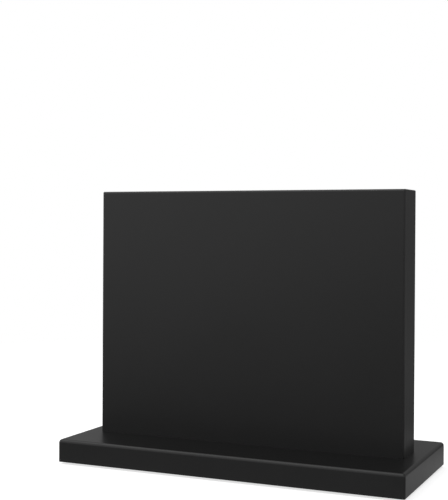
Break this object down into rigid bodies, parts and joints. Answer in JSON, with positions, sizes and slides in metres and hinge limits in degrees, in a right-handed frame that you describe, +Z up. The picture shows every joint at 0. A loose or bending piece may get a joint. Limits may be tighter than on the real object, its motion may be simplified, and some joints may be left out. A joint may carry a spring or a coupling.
{
  "type": "magnetic knife rack",
  "caption": "Free-standing upright board on a wide flat base, with hidden magnets behind both faces that hold knives flat against it.",
  "frame": {"origin": "on the worktop, under the middle of the base", "axes": "+X along the board's width, +Y from the front face to the rear face, +Z up"},
  "size_m": [0.33, 0.138, 0.254],
  "materials": {
    "black_lacquer": "satin black lacquer",
    "nickel_plate": "bright nickel plate",
    "zinc_steel": "zinc-plated steel",
    "black_steel": "black oxide",
    "brass_insert": "machined",
    "raw_beech": "raw, fluted dowel rod",
    "foot_rubber": "matte"
  },
  "bodies": {
    "root": {"front_panel": "black_lacquer", "front_keeper_bar_top": "zinc_steel", "front_keeper_bar_middle": "zinc_steel", "front_keeper_bar_bottom": "zinc_steel", "front_magnet_01": "nickel_plate", "front_magnet_02": "nickel_plate", "front_magnet_03": "nickel_plate", "front_magnet_04": "nickel_plate", "front_magnet_05": "nickel_plate", "front_magnet_06": "nickel_plate", "front_magnet_07": "nickel_plate", "front_magnet_08": "nickel_plate", "front_magnet_09": "nickel_plate", "front_magnet_10": "nickel_plate", "front_magnet_11": "nickel_plate", "front_magnet_12": "nickel_plate", "front_magnet_13": "nickel_plate", "front_magnet_14": "nickel_plate", "rear_panel": "black_lacquer", "rear_keeper_bar_top": "zinc_steel", "rear_keeper_bar_middle": "zinc_steel", "rear_keeper_bar_bottom": "zinc_steel", "rear_magnet_01": "nickel_plate", "rear_magnet_02": "nickel_plate", "rear_magnet_03": "nickel_plate", "rear_magnet_04": "nickel_plate", "rear_magnet_05": "nickel_plate", "rear_magnet_06": "nickel_plate", "rear_magnet_07": "nickel_plate", "rear_magnet_08": "nickel_plate", "rear_magnet_09": "nickel_plate", "rear_magnet_10": "nickel_plate", "rear_magnet_11": "nickel_plate", "rear_magnet_12": "nickel_plate", "rear_magnet_13": "nickel_plate", "rear_magnet_14": "nickel_plate", "core_board": "black_lacquer", "base_board": "black_lacquer", "base_bolt_1": "black_steel", "base_washer_1": "zinc_steel", "threaded_insert_1": "brass_insert", "base_bolt_2": "black_steel", "base_washer_2": "zinc_steel", "threaded_insert_2": "brass_insert", "base_bolt_3": "black_steel", "base_washer_3": "zinc_steel", "threaded_insert_3": "brass_insert", "alignment_dowel_1": "raw_beech", "alignment_dowel_2": "raw_beech", "rubber_foot_1": "foot_rubber", "rubber_foot_2": "foot_rubber", "rubber_foot_3": "foot_rubber", "rubber_foot_4": "foot_rubber"}
  },
  "joints": []
}
